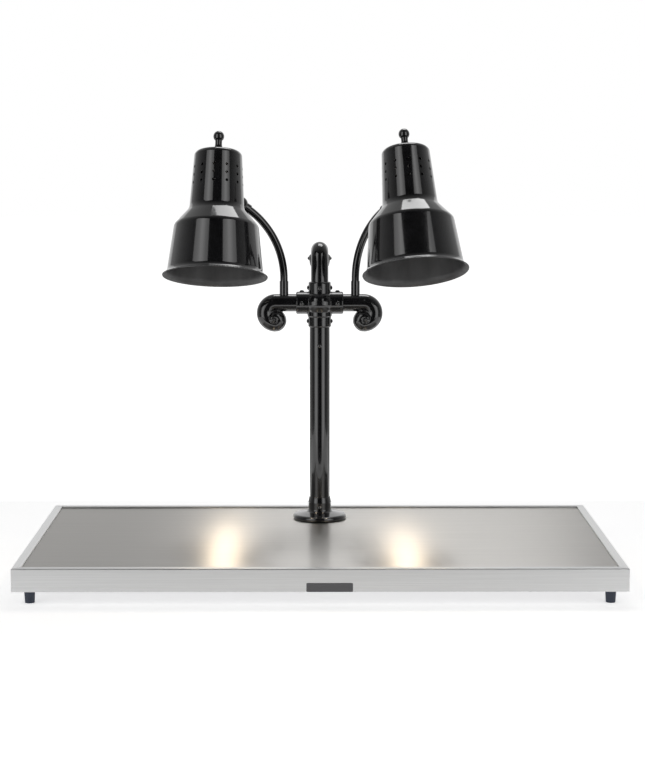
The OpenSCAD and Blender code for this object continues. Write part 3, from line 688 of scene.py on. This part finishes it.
# ---------------------------------------------------------------- stage, light and camera
def card(name, centre, size, facing, strength, banded=False):
    """A glowing card that lights the scene and shows in reflections, but not to the camera. A banded one is
    brightest near its middle and falls off towards its sides."""
    w, h = size[0] / 2, size[1] / 2
    obj = mesh_object(name, [(-w, -h, 0), (w, -h, 0), (w, h, 0), (-w, h, 0)], [[0, 1, 2, 3]], smooth=False)
    aim = (Vector(facing) - Vector(centre)).to_track_quat("Z", "Y")
    obj.matrix_world = Matrix.Translation(centre) @ aim.to_matrix().to_4x4()
    material = bpy.data.materials.new(name)
    material.use_nodes = True
    tree = material.node_tree
    tree.nodes.clear()
    glow = tree.nodes.new("ShaderNodeEmission")
    glow.inputs["Color"].default_value = (1, 1, 1, 1)
    glow.inputs["Strength"].default_value = strength
    if banded:
        place = tree.nodes.new("ShaderNodeTexCoord")
        ramp = tree.nodes.new("ShaderNodeValToRGB")
        split = tree.nodes.new("ShaderNodeSeparateXYZ")
        tree.links.new(place.outputs["Generated"], split.inputs["Vector"])
        tree.links.new(split.outputs["X"], ramp.inputs["Fac"])
        stops = ((0.0, 0.5), (0.2, 0.62), (0.42, 1.0), (0.55, 1.1), (0.7, 0.8), (1.0, 0.55))
        while len(ramp.color_ramp.elements) < len(stops):
            ramp.color_ramp.elements.new(0.5)
        for element, (position, share) in zip(ramp.color_ramp.elements, stops):
            element.position = position
            element.color = (share, share, share, 1)
        scale = tree.nodes.new("ShaderNodeMath")
        scale.operation = "MULTIPLY"
        scale.inputs[1].default_value = strength
        tree.links.new(ramp.outputs["Color"], scale.inputs[0])
        tree.links.new(scale.outputs["Value"], glow.inputs["Strength"])
    out = tree.nodes.new("ShaderNodeOutputMaterial")
    tree.links.new(glow.outputs["Emission"], out.inputs["Surface"])
    obj.data.materials.append(material)
    obj.visible_camera = False


def floor(name, x, y, glossy):
    """A rectangle of floor. Only the part near the object shows in reflections."""
    corner = [(x[0], y[0], 0), (x[1], y[0], 0), (x[1], y[1], 0), (x[0], y[1], 0)]
    obj = mesh_object(name, corner, [[0, 1, 2, 3]], smooth=False)
    obj.data.materials.append(NEAR_PAINT if glossy else FAR_PAINT)
    obj.visible_glossy = glossy


NEAR_PAINT, FAR_PAINT = (Shader(name, (0.9, 0.9, 0.9), roughness=0.9, Emission_Color=(1, 1, 1, 1),
                                Emission_Strength=glow).material
                         for name, glow in (("near_floor_paint", 0.5), ("far_floor_paint", 0.92)))
NEAR_X, NEAR_Y, FAR = 1.3, (-0.75, 0.6), 14.0
floor("floor_near", (-NEAR_X, NEAR_X), NEAR_Y, True)
floor("floor_front", (-FAR, FAR), (-FAR, NEAR_Y[0]), False)
floor("floor_back", (-FAR, FAR), (NEAR_Y[1], FAR), False)
floor("floor_left", (-FAR, -NEAR_X), NEAR_Y, False)
floor("floor_right", (NEAR_X, FAR), NEAR_Y, False)

LAMP_HEIGHT = Vector((0, 0, 0.5))
SOFTBOX_AWAY, SOFTBOX_TURN, SOFTBOX_Z = 2.3, math.radians(44), 1.35
for sign in (-1, 1):
    across, back = SOFTBOX_AWAY * math.sin(SOFTBOX_TURN), -SOFTBOX_AWAY * math.cos(SOFTBOX_TURN)
    place = (sign * across, back, SOFTBOX_Z)
    card(f"softbox_{sign}", place, (1.75, 3.3), (0, 0, SOFTBOX_Z), 1.7, banded=True)
card("top_card", (0.18, 0.95, 2.2), (1.0, 0.8), LAMP_HEIGHT, 3.6)
card("rear_card", (0, 2.6, 0.9), (5.0, 1.7), (0, 0, 0.35), 0.8)


def lamp_glow(side, lamp):
    """The warm light that a lit bulb throws down through the shade's mouth."""
    light = bpy.data.lights.new(side + "_glow", "AREA")
    light.shape = "DISK"
    light.size = 0.055
    light.energy = 0.15
    light.color = (1.0, 0.83, 0.62)
    light.spread = math.radians(110)
    obj = bpy.data.objects.new(side + "_glow", light)
    bpy.context.scene.collection.objects.link(obj)
    obj.matrix_world = lamp.matrix @ Matrix.Translation((0, 0, -0.001))
    obj.visible_camera = False
    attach(obj, side + "_lamp")


for side, lamp in LAMPS.items():
    lamp_glow(side, lamp)


def make_world():
    """White behind the object; dim in reflections, and darkest in front."""
    world = bpy.data.worlds.new("studio")
    bpy.context.scene.world = world
    world.use_nodes = True
    tree = world.node_tree
    tree.nodes.clear()
    direction = tree.nodes.new("ShaderNodeTexCoord").outputs["Generated"]
    split = tree.nodes.new("ShaderNodeSeparateXYZ")
    tree.links.new(direction, split.inputs["Vector"])
    dim = tree.nodes.new("ShaderNodeMapRange")
    for socket, value in (("From Min", -0.6), ("From Max", 0.5), ("To Min", 0.015), ("To Max", 0.4)):
        dim.inputs[socket].default_value = value
    tree.links.new(split.outputs["Y"], dim.inputs["Value"])
    seen = tree.nodes.new("ShaderNodeLightPath").outputs["Is Camera Ray"]
    pick = tree.nodes.new("ShaderNodeMix")
    pick.data_type = "FLOAT"
    tree.links.new(seen, pick.inputs["Factor"])
    tree.links.new(dim.outputs["Result"], pick.inputs["A"])
    pick.inputs["B"].default_value = 1.0
    back = tree.nodes.new("ShaderNodeBackground")
    back.inputs["Color"].default_value = (1, 1, 1, 1)
    tree.links.new(pick.outputs["Result"], back.inputs["Strength"])
    out = tree.nodes.new("ShaderNodeOutputWorld")
    tree.links.new(back.outputs["Background"], out.inputs["Surface"])


make_world()

camera = bpy.data.cameras.new("camera")
camera.sensor_fit = "VERTICAL"
camera.sensor_height = 36.0
camera.lens = 91.7
camera_object = bpy.data.objects.new("camera", camera)
camera_object.location = (-0.0084, -3.107, 0.6873)
camera_object.rotation_euler = (math.radians(90 - 7.21), 0.0, math.radians(-0.23))
bpy.context.scene.collection.objects.link(camera_object)
bpy.context.scene.camera = camera_object
bpy.context.scene.view_settings.view_transform = "Standard"
